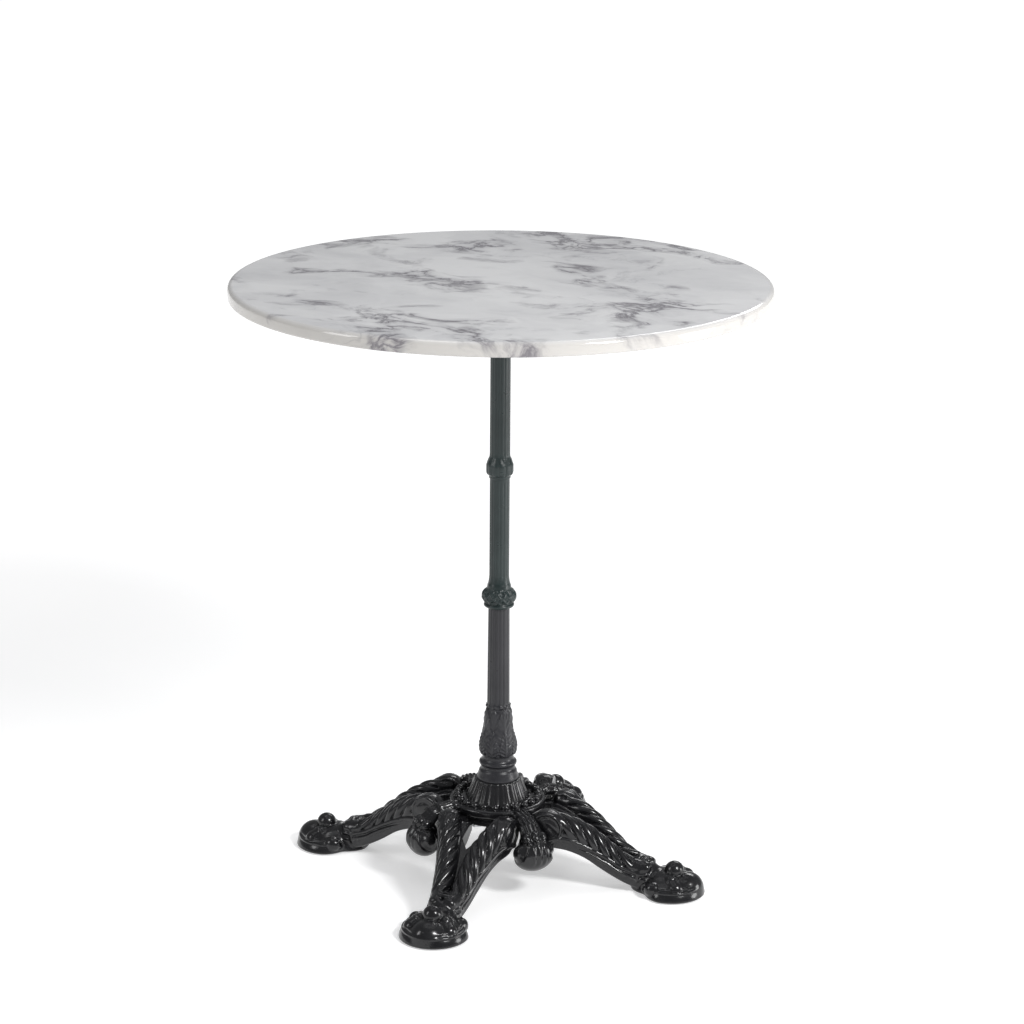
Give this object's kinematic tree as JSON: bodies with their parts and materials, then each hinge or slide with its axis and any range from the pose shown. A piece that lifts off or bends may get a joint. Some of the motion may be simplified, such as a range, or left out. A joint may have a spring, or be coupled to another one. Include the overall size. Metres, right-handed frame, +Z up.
{
  "type": "bistro table",
  "caption": "Round marble bistro table on a slim cast-iron column with knops, a beaded hub and rope-twist V legs ending in lion paws with screw glides.",
  "frame": {"origin": "on the floor under the middle of the table", "axes": "+Z up along the column, +X along leg_right, +Y along leg_back"},
  "size_m": [0.6499, 0.65, 0.75],
  "materials": {
    "marble": "polished white marble with soft grey broken veins",
    "column_paint": "satin black paint on cast iron",
    "leg_enamel": "gloss black enamel on cast iron",
    "zinc": "bright zinc plated steel",
    "brass": "turned brass",
    "rubber": "black rubber",
    "pad_plastic": "matt black plastic"
  },
  "bodies": {
    "root": {"marble_top": "marble", "top_inserts": "brass", "top_bracket": "column_paint", "bracket_pads": "rubber", "top_screws": "zinc", "top_screw_washers": "zinc", "tie_rod": "zinc", "top_nut": "zinc", "top_nut_washer": "zinc", "column_upper": "column_paint", "column_lower": "column_paint", "base_hub": "leg_enamel", "base_nut": "zinc", "base_washer": "zinc", "leg_right": "leg_enamel", "leg_back": "leg_enamel", "leg_left": "leg_enamel", "leg_front": "leg_enamel", "leg_bolts": "zinc", "leg_bolt_washers": "zinc", "glide_bushes": "brass"},
    "pad_right": {"glide_pad_right": "pad_plastic"},
    "stud_right": {"glide_stud_right": "zinc"},
    "pad_back": {"glide_pad_back": "pad_plastic"},
    "stud_back": {"glide_stud_back": "zinc"},
    "pad_left": {"glide_pad_left": "pad_plastic"},
    "stud_left": {"glide_stud_left": "zinc"},
    "pad_front": {"glide_pad_front": "pad_plastic"},
    "stud_front": {"glide_stud_front": "zinc"}
  },
  "joints": [
    {"name": "glide_slide_right", "type": "slide", "parent": "root", "child": "pad_right", "axis": [0, 0, 1], "range_m": [-0.008, 0]},
    {"name": "glide_turn_right", "type": "hinge", "parent": "pad_right", "child": "stud_right", "pos_m": [0.226, 0, 0], "axis": [0, 0, 1], "range_deg": [-2304, 0]},
    {"name": "glide_slide_back", "type": "slide", "parent": "root", "child": "pad_back", "axis": [0, 0, 1], "range_m": [-0.008, 0]},
    {"name": "glide_turn_back", "type": "hinge", "parent": "pad_back", "child": "stud_back", "pos_m": [0, 0.226, 0], "axis": [0, 0, 1], "range_deg": [-2304, 0]},
    {"name": "glide_slide_left", "type": "slide", "parent": "root", "child": "pad_left", "axis": [0, 0, 1], "range_m": [-0.008, 0]},
    {"name": "glide_turn_left", "type": "hinge", "parent": "pad_left", "child": "stud_left", "pos_m": [-0.226, 0, 0], "axis": [0, 0, 1], "range_deg": [-2304, 0]},
    {"name": "glide_slide_front", "type": "slide", "parent": "root", "child": "pad_front", "axis": [0, 0, 1], "range_m": [-0.008, 0]},
    {"name": "glide_turn_front", "type": "hinge", "parent": "pad_front", "child": "stud_front", "pos_m": [0, -0.226, 0], "axis": [0, 0, 1], "range_deg": [-2304, 0]}
  ],
  "couplings": [
    {"joint": "glide_turn_right", "follows": "glide_slide_right", "rad_per_m": 5026.5},
    {"joint": "glide_turn_back", "follows": "glide_slide_back", "rad_per_m": 5026.5},
    {"joint": "glide_turn_left", "follows": "glide_slide_left", "rad_per_m": 5026.5},
    {"joint": "glide_turn_front", "follows": "glide_slide_front", "rad_per_m": 5026.5}
  ]
}
